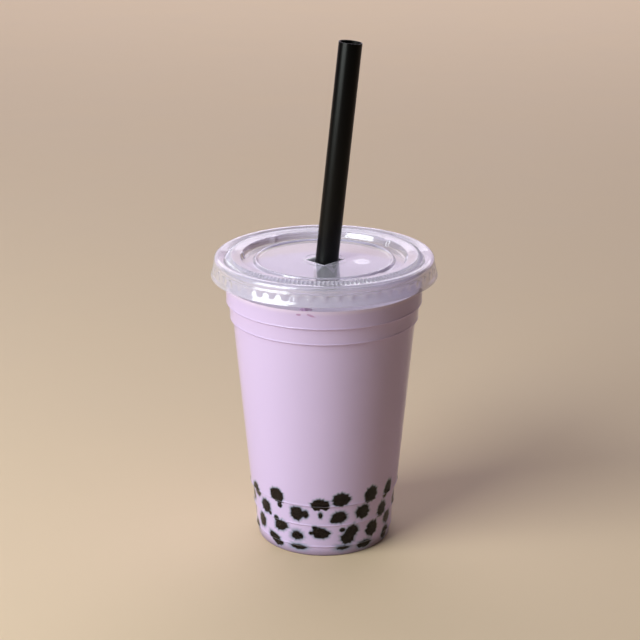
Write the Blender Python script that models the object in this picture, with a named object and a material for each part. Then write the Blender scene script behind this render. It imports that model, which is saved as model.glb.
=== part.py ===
"""Taro milk tea with tapioca pearls, in a clear tapered cup with a flat snap-on lid and a wide straw.

Sizes below are in millimetres and degrees, and every mesh is made in metres, +Z up.
The origin is the centre of the cup's foot, and the front is towards -Y.
"""

import math
import random

import bmesh
import bpy
from mathutils import Matrix, Vector

MM = 0.001
SIDES = 44  # facets round the cup, the lid and the drink
GAP = 0.3  # clearance between pieces that touch

CUP_WALL = 0.5
FOOT_RADIUS = 30.2
FOOT_RING_WIDTH = 3.2
FOOT_CORNER = 0.9
BASE_RECESS = 0.8
BASE_RECESS_SLOPE = 0.8
FLOOR_TOP = BASE_RECESS + CUP_WALL
STEP_RISE = 0.8
# Each moulded step of the wall: its height, the radius just below it and the radius just above it.
CUP_STEPS = (
    (4.9, 31.45, 31.9),
    (16.0, 32.6, 32.95),
    (26.3, 33.7, 34.55),
    (106.9, 41.65, 42.75),
    (114.5, 43.4, 44.3),
)
COLLAR_TOP = (45.2, 131.0)
RIM_CENTRE = (47.15, 132.95)
RIM_RADIUS = 1.75

LID_WALL = 0.5
SKIRT_EDGE = (51.2, 127.0)
SNAP_BAND_RADIUS = 50.05
SNAP_BAND_FOOT = 128.8
SNAP_BAND_TOP = 131.4
SNAP_NECK = (49.7, 132.4)
CROWN_CENTRE = (47.55, 133.7)
CROWN_RADIUS = 2.15
GROOVE = (44.3, 134.0)
STACKING_RING = (41.9, 135.9)
STACKING_RING_INNER = (37.7, 135.4)
CHANNEL_OUTER = 36.8
CHANNEL_INNER = 32.1
CHANNEL_FLOOR = 132.5
PANEL_RIM = (30.9, 134.4)
PANEL_RADIUS = 29.5
PANEL_TOP = 133.0
SLIT_REACH = 9.0  # from the lid's centre to each end of the cross slit
FLAP_END_GAP = 0.5
FLAP_ROOT = 0.15  # how far each flap starts inside the panel's edge

STRAW_RADIUS = 5.2
STRAW_WALL = 0.45
STRAW_LEAN = 5.9
STRAW_LENGTH = 229.8
STRAW_AT_LID = 1.2  # how far the straw's axis is from the lid's centre, at the panel
STRAW_SIDES = 24

DRINK_LEVEL = 123.3
DRINK_BOTTOM = 35.0

PEARL_SIZE = 9.3
PEARL_SIDES = 8
PEARL_BANDS = 5
HEAP_SHOULDER = 29.5
HEAP_TOP = 32.5
HEAP_INSET = 4.7  # how far the heap's core stays inside the wall that the pearls lie against
FIRST_AT_BACK = 86.0
LAST_AT_BACK = 288.0
BACK_SPACING = 23.0
TIERS = (28.8, 21.1, 13.0, 5.6)
SEED = 14
# Pearls that lie against the front of the wall: degrees to the right of the front, height, diameter.
FRONT_PEARLS = (
    (-64, 27.2, 9.2),
    (-39.5, 29.8, 9.4),
    (-3, 27.6, 9.6),
    (13, 29.8, 9.4),
    (38.4, 29.8, 9.2),
    (61, 28.9, 9.2),
    (-53, 21.1, 8.8),
    (-21.5, 22.2, 9.2),
    (11, 20.1, 8.8),
    (30.3, 22.2, 9.4),
    (51.7, 19.9, 9.2),
    (77, 20.4, 9.0),
    (-60, 12.9, 9.2),
    (-35.6, 14.1, 9.6),
    (-22, 10.8, 7.8),
    (-3, 12.9, 9.4),
    (18.7, 11.1, 10.2),
    (41, 11.5, 9.2),
    (59.7, 14.4, 8.8),
    (-44.5, 5.5, 8.6),
    (-21, 4.9, 7.8),
    (16, 5.2, 8.4),
    (33.5, 5.2, 8.4),
    (62, 5.2, 8.4),
)


def clear_scene():
    for obj in list(bpy.data.objects):
        bpy.data.objects.remove(obj)


def material(name, colour, roughness, alpha=1.0, transmission=0.0):
    made = bpy.data.materials.new(name)
    made.use_nodes = True
    shader = made.node_tree.nodes["Principled BSDF"]
    shader.inputs["Base Color"].default_value = (*colour, 1.0)
    shader.inputs["Roughness"].default_value = roughness
    shader.inputs["Metallic"].default_value = 0.0
    shader.inputs["Alpha"].default_value = alpha
    shader.inputs["Transmission Weight"].default_value = transmission
    return made


def clear_plastic(name):
    return material(name, (0.93, 0.94, 0.95), 0.08, 0.35, 1.0)


def arc(centre, radius, start, end, steps):
    """Points of a round stretch, from one angle to the other."""
    angles = [math.radians(start + (end - start) * i / steps) for i in range(steps + 1)]
    return [(centre[0] + radius * math.cos(a), centre[1] + radius * math.sin(a)) for a in angles]


def offset_line(points, distance):
    """The line moved to its left by distance, with mitred corners."""
    normals = []
    for (r0, z0), (r1, z1) in zip(points, points[1:]):
        length = math.hypot(r1 - r0, z1 - z0)
        normals.append(Vector((z0 - z1, r1 - r0)) / length)
    moved = []
    for i, point in enumerate(points):
        before = normals[max(i - 1, 0)]
        after = normals[min(i, len(normals) - 1)]
        side = (before + after).normalized()
        moved.append(tuple(Vector(point) + side * distance / side.dot(after)))
    return moved


def line_between(points, low, high):
    """The part of a rising line between two heights, cut exactly at both."""

    def at(height):
        for (r0, z0), (r1, z1) in zip(points, points[1:]):
            if z0 <= height <= z1 and z1 > z0:
                return (r0 + (r1 - r0) * (height - z0) / (z1 - z0), height)
        raise ValueError(f"the line doesn't reach {height}")

    return [at(low), *[p for p in points if low < p[1] < high], at(high)]


def cup_outer_line():
    """The cup's outside, from the middle of its base out and up to the collar under the rim."""
    ring_start = FOOT_RADIUS - FOOT_RING_WIDTH
    line = [
        (0.0, BASE_RECESS),
        (ring_start - BASE_RECESS_SLOPE, BASE_RECESS),
        (ring_start, 0.0),
    ]
    corner_centre = (FOOT_RADIUS, FOOT_CORNER)
    line += arc(corner_centre, FOOT_CORNER, -90, 0, 2)
    for height, below, above in CUP_STEPS:
        line += [(below, height - STEP_RISE / 2), (above, height + STEP_RISE / 2)]
    return [*line, COLLAR_TOP]


def cup_inner_line():
    return offset_line(cup_outer_line(), CUP_WALL)


def wall_line():
    """The inside of the cup's wall alone, from the foot up."""
    line = cup_inner_line()
    lowest = min(range(len(line)), key=lambda i: (line[i][1], -line[i][0]))
    return line[lowest:]


def lid_outer_line():
    """The lid's upper side, from the skirt's edge over the crown and in to the centre."""
    skirt = [
        SKIRT_EDGE,
        (SNAP_BAND_RADIUS + 0.35, SNAP_BAND_FOOT - 0.5),
        (SNAP_BAND_RADIUS, SNAP_BAND_FOOT),
        (SNAP_BAND_RADIUS - 0.05, SNAP_BAND_TOP),
        SNAP_NECK,
    ]
    crown = arc(CROWN_CENTRE, CROWN_RADIUS, -12, 120, 7)
    stacking = [
        (GROOVE[0] + 0.7, GROOVE[1] + 0.6),
        GROOVE,
        STACKING_RING,
        (STACKING_RING[0] - 0.6, STACKING_RING[1] + 0.1),
        STACKING_RING_INNER,
    ]
    channel = [(CHANNEL_OUTER, CHANNEL_FLOOR), (CHANNEL_INNER, CHANNEL_FLOOR)]
    panel = [PANEL_RIM, (PANEL_RADIUS, PANEL_TOP), (0.0, PANEL_TOP)]
    return skirt + crown + stacking + channel + panel


def closed_mesh(name, bm):
    """A mesh of the closed body in bm, facing outwards, with its round faces shaded smooth."""
    bmesh.ops.remove_doubles(bm, verts=bm.verts, dist=1e-7)
    bmesh.ops.recalc_face_normals(bm, faces=bm.faces)
    mesh = bpy.data.meshes.new(name)
    bm.to_mesh(mesh)
    bm.free()
    mesh.shade_smooth()
    mesh.set_sharp_from_angle(angle=math.radians(35))
    return mesh


def add_object(name, mesh, finish=None):
    obj = bpy.data.objects.new(name, mesh)
    if finish:
        mesh.materials.append(finish)
    bpy.context.scene.collection.objects.link(obj)
    return obj


def turned(name, profile, sides=SIDES):
    """A profile of radius and height turned round the Z axis. It ends on the axis, or closes on itself."""
    bm = bmesh.new()
    verts = [bm.verts.new((r * MM, 0.0, z * MM)) for r, z in profile]
    edges = [bm.edges.new(pair) for pair in zip(verts, verts[1:])]
    if profile[0][0] > 0.0:
        edges.append(bm.edges.new((verts[-1], verts[0])))
    bmesh.ops.spin(
        bm, geom=verts + edges, axis=(0, 0, 1), cent=(0, 0, 0), steps=sides, angle=math.tau, use_merge=True
    )
    return closed_mesh(name, bm)


def hide_as_cutter(obj):
    obj.hide_render = True
    obj.display_type = "WIRE"


def boolean(obj, operation, other):
    change = obj.modifiers.new(f"{operation.lower()} {other.name}", "BOOLEAN")
    change.operation = operation
    change.object = other
    change.solver = "EXACT"


def straw_matrix():
    """Stands the straw's own axis in the cup, with its foot just above the cup's floor."""
    lean = math.radians(STRAW_LEAN)
    foot_height = FLOOR_TOP + GAP + STRAW_RADIUS * math.sin(lean)
    foot_x = STRAW_AT_LID - (PANEL_TOP - foot_height) * math.tan(lean)
    return Matrix.Translation(Vector((foot_x, 0.0, foot_height)) * MM) @ Matrix.Rotation(lean, 4, "Y")


def make_cup():
    bead = arc(RIM_CENTRE, RIM_RADIUS, -115, 178, 8)
    profile = cup_outer_line() + bead + cup_inner_line()[::-1]
    return add_object("cup", turned("cup", profile), clear_plastic("cup_plastic"))


def flap_prism(bm, quarter):
    """One pointed flap of the lid's cross slit, bent down until it clears the straw."""
    outwards = Matrix.Rotation(math.radians(45 + 90 * quarter), 3, "Z") @ Vector((1, 0, 0))
    along = Vector((-outwards.y, outwards.x, 0))
    length = SLIT_REACH / math.sqrt(2)
    to_straw = length - outwards.x * STRAW_AT_LID
    room = to_straw - (STRAW_RADIUS + GAP + LID_WALL)
    bend = math.acos(room / length)
    down = -outwards * math.cos(bend) - Vector((0, 0, math.sin(bend)))
    back = down.cross(along)
    if back.dot(outwards) < 0:
        back = -back
    hinge = outwards * (length + FLAP_ROOT) + Vector((0, 0, PANEL_TOP - LID_WALL / 2))
    half = along * (length - FLAP_END_GAP)
    corners = [hinge - half, hinge + half, hinge + down * (length - FLAP_END_GAP)]
    front = [bm.verts.new(c * MM) for c in corners]
    rear = [bm.verts.new((c + back * LID_WALL) * MM) for c in corners]
    bm.faces.new(front)
    bm.faces.new(rear[::-1])
    for i in range(3):
        bm.faces.new((front[i - 1], rear[i - 1], rear[i], front[i]))


def make_slit_cutter():
    """The square window between the slit's four ends, through the lid's panel."""
    bm = bmesh.new()
    bmesh.ops.create_cone(
        bm,
        segments=4,
        radius1=SLIT_REACH * MM,
        radius2=SLIT_REACH * MM,
        depth=8 * LID_WALL * MM,
        cap_ends=True,
        matrix=Matrix.Translation((0, 0, PANEL_TOP * MM)),
    )
    cutter = add_object("slit_window", closed_mesh("slit_window", bm))
    hide_as_cutter(cutter)
    return cutter


def make_flaps():
    flaps = []
    for quarter in range(4):
        bm = bmesh.new()
        flap_prism(bm, quarter)
        flap = add_object(f"slit_flap_{quarter + 1}", closed_mesh(f"slit_flap_{quarter + 1}", bm))
        hide_as_cutter(flap)
        flaps.append(flap)
    return flaps


def make_straw_clearance():
    """A round rod along the straw, a gap wider than it, that clears a bore in whatever the straw passes."""
    bm = bmesh.new()
    radius = (STRAW_RADIUS + GAP) * MM
    bmesh.ops.create_cone(
        bm, segments=STRAW_SIDES, radius1=radius, radius2=radius, depth=1.2 * STRAW_LENGTH * MM, cap_ends=True
    )
    bmesh.ops.translate(bm, verts=bm.verts, vec=(0, 0, STRAW_LENGTH / 2 * MM))
    rod = add_object("straw_clearance", closed_mesh("straw_clearance", bm))
    rod.matrix_world = straw_matrix()
    hide_as_cutter(rod)
    return rod


def make_lid(straw_clearance):
    outer = lid_outer_line()
    profile = outer[::-1] + offset_line(outer, LID_WALL)
    lid = add_object("lid", turned("lid", profile), clear_plastic("lid_plastic"))
    boolean(lid, "DIFFERENCE", make_slit_cutter())
    for flap in make_flaps():
        boolean(lid, "UNION", flap)
    boolean(lid, "DIFFERENCE", straw_clearance)
    return lid


def make_straw():
    inner = STRAW_RADIUS - STRAW_WALL
    profile = [(inner, 0.0), (STRAW_RADIUS, 0.0), (STRAW_RADIUS, STRAW_LENGTH), (inner, STRAW_LENGTH)]
    finish = material("straw_plastic", (0.012, 0.012, 0.015), 0.35)
    straw = add_object("straw", turned("straw", profile, STRAW_SIDES), finish)
    straw.matrix_world = straw_matrix()
    return straw


def make_drink(straw_clearance):
    side = [(r - GAP, z) for r, z in line_between(wall_line(), DRINK_BOTTOM, DRINK_LEVEL)]
    profile = [(0.0, DRINK_BOTTOM), *side, (0.0, DRINK_LEVEL)]
    drink = add_object("milk_tea", turned("milk_tea", profile), material("taro_milk", (0.58, 0.43, 0.66), 0.25))
    boolean(drink, "DIFFERENCE", straw_clearance)
    return drink


def nest_radius(height, half):
    """How far out a ball of this half size can lie at a height before it meets the cup's wall."""
    line = wall_line()
    reach = []
    for i in range(-8, 9):
        rise = half * i / 8
        if height + rise > line[0][1]:
            wall = line_between(line, height + rise, COLLAR_TOP[1])[0][0]
            reach.append(wall - math.sqrt(half**2 - rise**2))
    return min(reach) - GAP - 0.05


def pearl_places(dice):
    """Every pearl that lies against the wall: degrees round from the front, height and diameter."""
    places = list(FRONT_PEARLS)
    for row, height in enumerate(TIERS):
        angle = FIRST_AT_BACK + (row % 2) * BACK_SPACING / 2
        while angle < LAST_AT_BACK - (row == 1) * BACK_SPACING / 2:
            size = PEARL_SIZE * dice.uniform(0.92, 1.04)
            places.append((angle + dice.uniform(-3, 3), height + dice.uniform(-0.9, 0.9), size))
            angle += BACK_SPACING
    return places


def make_pearl(index, angle, height, size, dice):
    """One soft round pearl, a little flattened, lying against the wall and off the floor."""
    half = size / 2
    height = max(height, half + FLOOR_TOP + GAP)
    turn = math.radians(angle - 90)
    out = nest_radius(height, half)
    place = Vector((out * math.cos(turn), out * math.sin(turn), height)) * MM
    squash = Matrix.Diagonal((1.0, dice.uniform(0.92, 1.0), dice.uniform(0.88, 0.97), 1.0))
    roll = Matrix.Rotation(dice.uniform(0, math.tau), 4, "X")
    pole_outwards = Matrix.Rotation(math.radians(90), 4, "Y")
    matrix = Matrix.Translation(place) @ Matrix.Rotation(turn, 4, "Z") @ roll @ squash @ pole_outwards
    bm = bmesh.new()
    bmesh.ops.create_uvsphere(
        bm, u_segments=PEARL_SIDES, v_segments=PEARL_BANDS, radius=half * MM, matrix=matrix
    )
    return bpy.data.objects.new(f"pearl_{index}", closed_mesh(f"pearl_{index}", bm))


def keep_largest_body(mesh):
    """Drops loose scraps and the walls of sealed hollows, so that one closed body is left."""
    bm = bmesh.new()
    bm.from_mesh(mesh)
    left = set(bm.verts)
    bodies = []
    while left:
        body = {left.pop()}
        edge_of = list(body)
        while edge_of:
            vert = edge_of.pop()
            near = {edge.other_vert(vert) for edge in vert.link_edges} & left
            left -= near
            body |= near
            edge_of += near
        bodies.append(body)
    largest = max(bodies, key=len)
    bmesh.ops.delete(bm, geom=[v for v in bm.verts if v not in largest], context="VERTS")
    bm.to_mesh(mesh)
    bm.free()


def make_pearl_heap(straw_clearance):
    """The heap of pearls: a core with every pearl that shows at the wall fused on."""
    dice = random.Random(SEED)
    bottom = FLOOR_TOP + GAP
    wall = line_between(wall_line(), bottom, HEAP_SHOULDER)
    core_side = [(wall[0][0] - HEAP_INSET, bottom), (wall[-1][0] - HEAP_INSET, HEAP_SHOULDER)]
    profile = [(0.0, bottom), *core_side, (0.0, HEAP_TOP)]
    heap = add_object("tapioca_pearls", turned("tapioca_pearls", profile))
    pearls = bpy.data.collections.new("pearls")
    for index, (angle, height, size) in enumerate(pearl_places(dice)):
        pearls.objects.link(make_pearl(index, angle, height, size, dice))
    fuse = heap.modifiers.new("fuse pearls", "BOOLEAN")
    fuse.operation = "UNION"
    fuse.operand_type = "COLLECTION"
    fuse.collection = pearls
    fuse.solver = "EXACT"
    graph = bpy.context.evaluated_depsgraph_get()
    fused = bpy.data.meshes.new_from_object(heap.evaluated_get(graph))
    heap.modifiers.clear()
    heap.data = fused
    for pearl in list(pearls.objects):
        bpy.data.objects.remove(pearl)
    bpy.data.collections.remove(pearls)
    keep_largest_body(fused)
    fused.materials.clear()
    fused.materials.append(material("tapioca", (0.02, 0.012, 0.012), 0.25))
    boolean(heap, "DIFFERENCE", straw_clearance)
    return heap


def main():
    clear_scene()
    straw_clearance = make_straw_clearance()
    make_cup()
    make_lid(straw_clearance)
    make_straw()
    make_drink(straw_clearance)
    make_pearl_heap(straw_clearance)


main()
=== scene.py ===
"""Taro milk tea with tapioca pearls in a clear cup with a flat lid and a wide black straw, for a studio shot.

Profiles are given in millimetres and degrees. Every mesh is made in metres, +Z up, with its front towards -Y.
"""

import math
import random

import bmesh
import bpy
import numpy as np
from bpy.props import FloatProperty, FloatVectorProperty, IntProperty, PointerProperty
from mathutils import Matrix, Vector, noise


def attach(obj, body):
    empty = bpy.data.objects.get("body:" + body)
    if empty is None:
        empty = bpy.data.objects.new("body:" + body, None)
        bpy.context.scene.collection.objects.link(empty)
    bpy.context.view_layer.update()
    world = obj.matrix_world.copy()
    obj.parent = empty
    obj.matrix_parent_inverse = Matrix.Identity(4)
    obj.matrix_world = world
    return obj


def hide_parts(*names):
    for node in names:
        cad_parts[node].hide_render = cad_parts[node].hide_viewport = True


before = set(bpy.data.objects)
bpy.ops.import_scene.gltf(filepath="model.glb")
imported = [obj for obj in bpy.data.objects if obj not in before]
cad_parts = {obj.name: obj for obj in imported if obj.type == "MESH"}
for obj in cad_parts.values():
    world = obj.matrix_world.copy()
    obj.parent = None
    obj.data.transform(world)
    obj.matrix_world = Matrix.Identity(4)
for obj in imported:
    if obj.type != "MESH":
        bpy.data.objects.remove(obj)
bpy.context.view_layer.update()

bl_info = {
    "name": "Bubble tea",
    "version": (1, 0, 0),
    "blender": (4, 5, 0),
    "location": "View3D > Sidebar > Bubble tea",
    "description": "Builds a cup of taro milk tea with its lid, straw and pearls",
    "category": "Object",
}

MM = 0.001
ROOT = "root"
ARC_STEP = math.radians(19)  # turn between the points of a round stretch
SHARP_ANGLE = math.radians(38)  # edges that bend more are shaded sharp
CLOSE = 0.01  # points of a line that lie nearer than this count as one
SAME_VERT = 1e-7  # the same for vertices, in metres
STRAIGHT_SHARE = 0.49  # the most of a straight that the rounding of one corner may take

# The cup's outside in millimetres: radius, height, rounding of the corner.
FOOT_LINE = (
    (0.0, 0.8, 0.0),
    (11.5, 0.8, 0.6),
    (12.3, 1.15, 0.5),
    (14.2, 1.15, 0.5),
    (15.0, 0.8, 0.6),
    (26.2, 0.8, 0.6),
    (27.1, 0.0, 0.6),
    (31.1, 0.0, 1.0),
)
# Each moulded step of the wall: its height, the radius just below it and the radius just above it.
WALL_STEPS = (
    (4.9, 31.45, 31.9),
    (16.0, 32.6, 32.95),
    (26.3, 33.7, 34.55),
    (106.9, 41.65, 42.75),
    (114.5, 43.4, 44.3),
)
STEP_RISE = 0.5
STEP_ROUNDING = 0.3
STEP_BEAD = 0.24  # how far the edge of a step stands out from the wall above it
BEAD_FADE = 3 * STEP_BEAD  # height over which the bead runs back into the wall
COLLAR_TOP = (45.2, 131.0)
RIM_CENTRE = (47.15, 132.95)
RIM_RADIUS = 1.7
RIM_CURL = (-110.0, 195.0)

# The lid's upper side in millimetres, from the skirt's edge in to the slit: radius, height, rounding.
SKIRT_LINE = (
    (51.15, 127.0, 0.0),
    (50.95, 127.75, 0.5),
    (50.45, 128.75, 0.8),
    (50.0, 131.7, 0.9),
    (49.66, 132.75, 0.5),
)
CROWN_CENTRE = (47.55, 133.7)
CROWN_RADIUS = 2.15
CROWN_ARC = (-18.0, 122.0)
TOP_LINE = (
    (44.9, 134.55, 0.6),
    (44.2, 134.0, 0.6),
    (41.9, 135.95, 0.55),
    (41.2, 136.0, 0.6),
    (37.7, 135.4, 0.7),
    (36.8, 132.5, 0.8),
    (32.1, 132.5, 0.8),
    (30.9, 134.4, 0.55),
    (29.6, 133.0, 0.7),
    (9.9, 132.95, 0.0),
    (9.6, 132.75, 0.2),
    (9.3, 132.95, 0.0),
)
LID_STEPS = 432
LONG_STRAIGHT = 2.5
HOLD = 0.15  # distance of the points that keep the shading of a long straight flat
PANEL_TOP = 133.0
PANEL_RADIUS = 29.5
PANEL_BAND = (PANEL_TOP - 0.1, PANEL_TOP + 0.02)  # heights that hold the flat of the panel
PANEL_WAVES = 0.04  # height of the panel's faint waves
PANEL_WAVE_WIDTH = 14

SLIT_REACH = 9.0
SLIT_EDGE = PANEL_TOP - 0.05
SLIT_EDGE_WIDTH = 0.15
FLAP_ROWS = 14
FLAP_COLUMNS = 9
FLAP_ROOT = 0.1  # how far each flap starts inside the panel's edge
FLAP_BEND = 0.25  # share of a flap's length over which it bends down
FLAP_SIDE_GAP = 0.45
FLAP_TIP = 0.25  # half the width of the tip
FLAP_TRIM = 0.4  # how much shorter a flap is than its quarter of the slit
STRAW_GAP = 0.3

# The skirt's ribs. Their widths are shares of half the distance from one rib to the next.
RIB_FOOT = 128.5
RIB_TOP = 131.9
RIB_FOOT_WIDTH = 0.08
RIB_WIDENING = 0.40
FACET_SLOPE = 0.16  # width of the step from a rib down to the facet beside it
FACET_FADE = 0.1  # share of the ribs' height over which the facets run out at the top
SKIRT_INSIDE = 48.5  # the skirt lies outside this radius

# The small flutes on the stacking ring's outer slope.
FLUTE_BAND = (41.6, 44.4)
FLUTE_FOOT = 133.4
FLUTE_FADE = 0.2
FLUTE_OUT = 0.6  # share of their depth by which the flutes stand out
FLUTE_UP = 0.8  # and rise

# The stacking lugs on the wall round the channel.
LUGS = 8
FIRST_LUG = 174.0
LUG_BAND = (36.0, 38.2)
LUG_FOOT = 132.6
LUG_DEPTH = 0.9
LUG_HALF_WIDTH = 4.0

# The oval press-in button on the panel: its middle, its half widths and its rise.
BUTTON_PLACE = (17.0, 0.5)
BUTTON_HALF = (4.4, 8.5)
BUTTON_RISE = 0.45

STRAW_FOOT = (-12.32, 2.13)
STRAW_LEAN = math.radians(5.9)
STRAW_LENGTH = 229.8
STRAW_AT_LID = 1.2  # how far the straw's axis is from the lid's centre, at the panel
STRAW_LIP = 0.16
STRAW_SIDES = 72

DRINK_LEVEL = 122.9
PAINTED_LIGHT_DEPTH = 2.2  # depth under its edge over which painted light makes the drink paler, standing in for light that comes in from above
FOOT_SHADE = 5.5  # height below which painted shade makes the drink darker in the foot ring
PEARL_ZONE = 37.0  # the pearls show through the drink below this height
FINE_WALL = 1.5  # height from which the drink's wall is finely divided
FILM_RADIUS = 29.5  # the pearls show through the drink outside this radius
INTO_WALL = 0.10  # how far the drink reaches into the cup's wall
STEP_INTO_WALL = 0.20  # the same at the moulded steps, where it covers the pearls
STEP_COVER = 0.08  # half the height of the band that is fully covered at a step
STEP_FADE = 0.25  # height over which the cover then fades
STEP_HIDES = 0.4  # how much less a pearl shows through the drink at a step
# The drink's surface: distances from its edge and heights above its level where it meets the wall, and then
# radii and heights where it meets the straw.
WALL_MENISCUS = (
    (0.02, 0.2),
    (-0.25, 0.18),
    (-0.7, 0.08),
    (-1.4, 0.01),
    (-2.6, 0.0),
    (-2.9, 0.0),
)
STRAW_MENISCUS = (
    (8.6, 0.0),
    (8.2, 0.0),
    (6.9, 0.08),
    (6.0, 0.3),
    (5.4, 0.55),
    (4.8, 0.5),
    (0.0, 0.3),
)

PEARL_SIDES = 64
PEARL_BANDS = 14
PEARL_INTO_WALL = 0.17
PEARL_BOTTOM = 1.1  # no pearl reaches below this height
WIDEST_PATCH = 0.92  # of a pearl's radius
BULGE_SPREAD = 0.38  # in radians of the outline
LUMP_HEIGHT = 0.05  # share of its radius by which a pearl is lumpy
LUMP_SCALE = 1.4
SMALL_PEARL = 0.7  # radius of a small pearl, as a share of the longer side of its patch
# The unevenness of a patch's outline: how many waves go round it and how high they are.
RAGGED_WAVES = (
    (3, 0.02),
    (5, 0.03),
    (8, 0.045),
    (11, 0.045),
    (15, 0.04),
    (19, 0.03),
    (25, 0.015),
)
# Pearls that press on the front of the wall: degrees to the right of the front, height, width and height of
# the patch that shows, its tilt, and the direction and size of a bulge or notch in its outline.
FRONT_PEARLS = (
    (-66, 26.4, 6.2, 6.6, -24, 0, 0.0),
    (-39, 29.3, 7.2, 7.0, 10, -58, 0.15),
    (-3, 27.3, 8.0, 6.2, 0, -85, -0.35),
    (13, 29.8, 8.2, 6.4, 4, 95, 0.10),
    (38, 29.6, 6.8, 7.9, -8, 60, 0.12),
    (58, 28.8, 5.2, 7.8, -14, 0, 0.0),
    (-54, 20.4, 6.4, 6.3, 20, 0, 0.0),
    (-22, 21.8, 6.0, 6.7, -12, 150, 0.10),
    (12, 20.5, 6.8, 5.6, 8, -140, 0.12),
    (32, 21.4, 6.8, 6.2, -20, 80, 0.15),
    (53.5, 19.0, 5.6, 7.0, -14, 0, 0.0),
    (79, 18.8, 6.2, 6.8, 0, 0, 0.0),
    (-62, 11.3, 5.4, 6.6, -8, 0, 0.0),
    (-38, 13.4, 6.8, 5.0, 24, -30, 0.12),
    (-23, 10.1, 4.6, 3.9, 10, 90, 0.10),
    (-3, 12.3, 7.3, 5.4, -6, 10, 0.12),
    (23, 12.2, 6.4, 5.2, 30, 60, 0.15),
    (19.5, 9.0, 6.0, 5.2, -20, -90, 0.10),
    (43, 10.9, 6.6, 7.6, -12, 0, 0.0),
    (64, 12.4, 5.6, 5.6, 10, 0, 0.0),
    (-45, 5.4, 7.6, 4.4, -28, 0, 0.0),
    (-22, 4.2, 6.4, 2.6, 0, 0, 0.0),
    (16, 4.2, 4.2, 1.8, 0, 0, 0.0),
    (36, 3.9, 6.6, 3.6, 0, 0, 0.0),
    (63, 4.6, 5.6, 6.0, -10, 0, 0.0),
)
# Small pearls between the larger ones: angle, height, and width and height of the patch.
TOUCHING_PEARLS = (
    (-37.5, 24.0, 2.4, 2.4),
    (-3, 21.8, 1.6, 2.6),
    (-15, 21.9, 2.7, 3.6),
    (7, 18.7, 2.3, 1.9),
    (-42, 16.3, 2.7, 2.7),
    (-19, 10.0, 1.6, 2.3),
    (-7.5, 15.1, 2.3, 2.1),
    (-10.5, 12.2, 2.0, 1.5),
    (15, 13.6, 2.3, 1.9),
    (-49, 17.8, 1.7, 1.9),
)
# Pearls round the back: heights of the tiers, angles, and the ranges that their draws come from.
BACK_TIERS = (28.8, 21.1, 13.0, 5.6)
FIRST_AT_BACK = 88.0
LAST_AT_BACK = 286.0
BACK_SPACING = 23.0
BACK_WIDTH = (4.8, 7.4)
BACK_ASPECT = (0.8, 1.15)
BACK_TURN = (-3, 3)
BACK_SHIFT = (-0.9, 0.9)
BACK_TILT = (-40, 40)
BACK_BULGES = (0.0, 0.0, 0.3)
# The bubbles under the drink's edge: angle and height of the middle, width, height and tilt of the patch.
BUBBLES = (
    (-14.5, 121.4, 1.7, 0.9, 0),
    (-7.8, 121.3, 3.0, 0.9, -18),
    (71.0, 121.6, 1.4, 1.0, 10),
    (112.0, 121.0, 2.2, 0.9, 15),
    (119.0, 121.5, 1.2, 0.8, 0),
    (173.0, 121.2, 1.6, 1.0, -10),
    (228.0, 121.4, 2.4, 0.9, 12),
    (236.5, 121.0, 1.2, 0.8, 0),
)
BUBBLE_SEED = 5
OUT_OF_SIGHT = 99.0  # depth of whatever lies beside a pearl

FLOOR_HALF = 6.0
CAMERA_SIDE = -0.0019
SENSOR_WIDTH = 36.0
# Where the surround changes colour, as heights of a direction and as shares of it that point backwards.
ABOVE = (0.5, 0.95)
BEHIND = (0.5, 0.85)
LOW_BEHIND = (0.7, 0.42)


class CupSettings(bpy.types.PropertyGroup):
    wall: FloatProperty(
        name="Wall",
        description="Thickness of the moulded sheet",
        default=0.00036,
        min=0.0002,
        max=0.0005,
        unit="LENGTH",
    )
    steps: IntProperty(name="Facets", description="Facets round the cup", default=240, min=48, max=360)
    tint: FloatVectorProperty(
        name="Tint",
        description="Colour of the clear plastic",
        default=(0.975, 0.98, 0.99),
        subtype="COLOR",
        min=0,
        max=1,
    )
    roughness: FloatProperty(
        name="Roughness", description="Roughness of the plastic", default=0.05, min=0, max=1, subtype="FACTOR"
    )
    ior: FloatProperty(name="IOR", description="Refraction of the plastic", default=1.22, min=1, max=2)
    milkiness: FloatProperty(
        name="Milkiness", description="Share of light that the plastic scatters", default=0.0, min=0, max=1
    )
    passes: FloatProperty(
        name="Passes",
        description="Share of the lamps' light that each face lets through",
        default=0.97,
        min=0,
        max=1,
    )


class LidSettings(bpy.types.PropertyGroup):
    wall: FloatProperty(
        name="Wall",
        description="Thickness of the moulded sheet",
        default=0.00034,
        min=0.0002,
        max=0.0005,
        unit="LENGTH",
    )
    ribs: IntProperty(name="Ribs", description="Ribs round the skirt", default=54, min=12, max=120)
    flutes: IntProperty(
        name="Flutes", description="Flutes round the stacking ring", default=144, min=24, max=240
    )
    rib_depth: FloatProperty(
        name="Rib depth",
        description="How far the facets between the ribs are pressed in",
        default=0.00055,
        min=0,
        max=0.001,
        unit="LENGTH",
    )
    flute_depth: FloatProperty(
        name="Flute depth",
        description="How deep the flutes are",
        default=0.0008,
        min=0,
        max=0.001,
        unit="LENGTH",
    )
    tint: FloatVectorProperty(
        name="Tint",
        description="Colour of the clear plastic",
        default=(0.91, 0.88, 1.0),
        subtype="COLOR",
        min=0,
        max=1,
    )
    roughness: FloatProperty(
        name="Roughness", description="Roughness of the plastic", default=0.07, min=0, max=1, subtype="FACTOR"
    )
    ior: FloatProperty(name="IOR", description="Refraction of the plastic", default=1.55, min=1, max=2)
    milkiness: FloatProperty(
        name="Milkiness", description="Share of light that the plastic scatters", default=0.22, min=0, max=1
    )
    crease_milkiness: FloatProperty(
        name="Milkiness of flaps",
        description="Share of light that the bent flaps scatter",
        default=0.8,
        min=0,
        max=1,
    )
    passes: FloatProperty(
        name="Passes",
        description="Share of the lamps' light that each face lets through",
        default=0.84,
        min=0,
        max=1,
    )


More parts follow.
